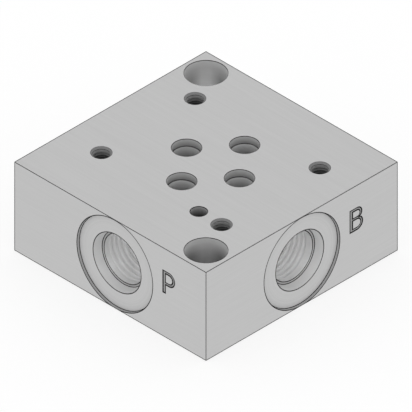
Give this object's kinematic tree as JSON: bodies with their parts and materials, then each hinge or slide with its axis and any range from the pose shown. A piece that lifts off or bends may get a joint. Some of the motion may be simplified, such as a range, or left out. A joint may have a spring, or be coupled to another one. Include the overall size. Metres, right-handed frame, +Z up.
{
  "type": "hydraulic manifold block",
  "caption": "Square aluminium valve subplate: valve mounting face on top, a straight-thread O-ring port in each side, counterbored holes in opposite corners.",
  "frame": {"origin": "middle of the base", "axes": "+Z up to the valve face, +X out of port B, -Y out of port P"},
  "size_m": [0.0636, 0.0636, 0.0254],
  "materials": {
    "aluminium": "fine milled, satin"
  },
  "bodies": {
    "root": {"manifold_block": "aluminium"}
  },
  "joints": []
}
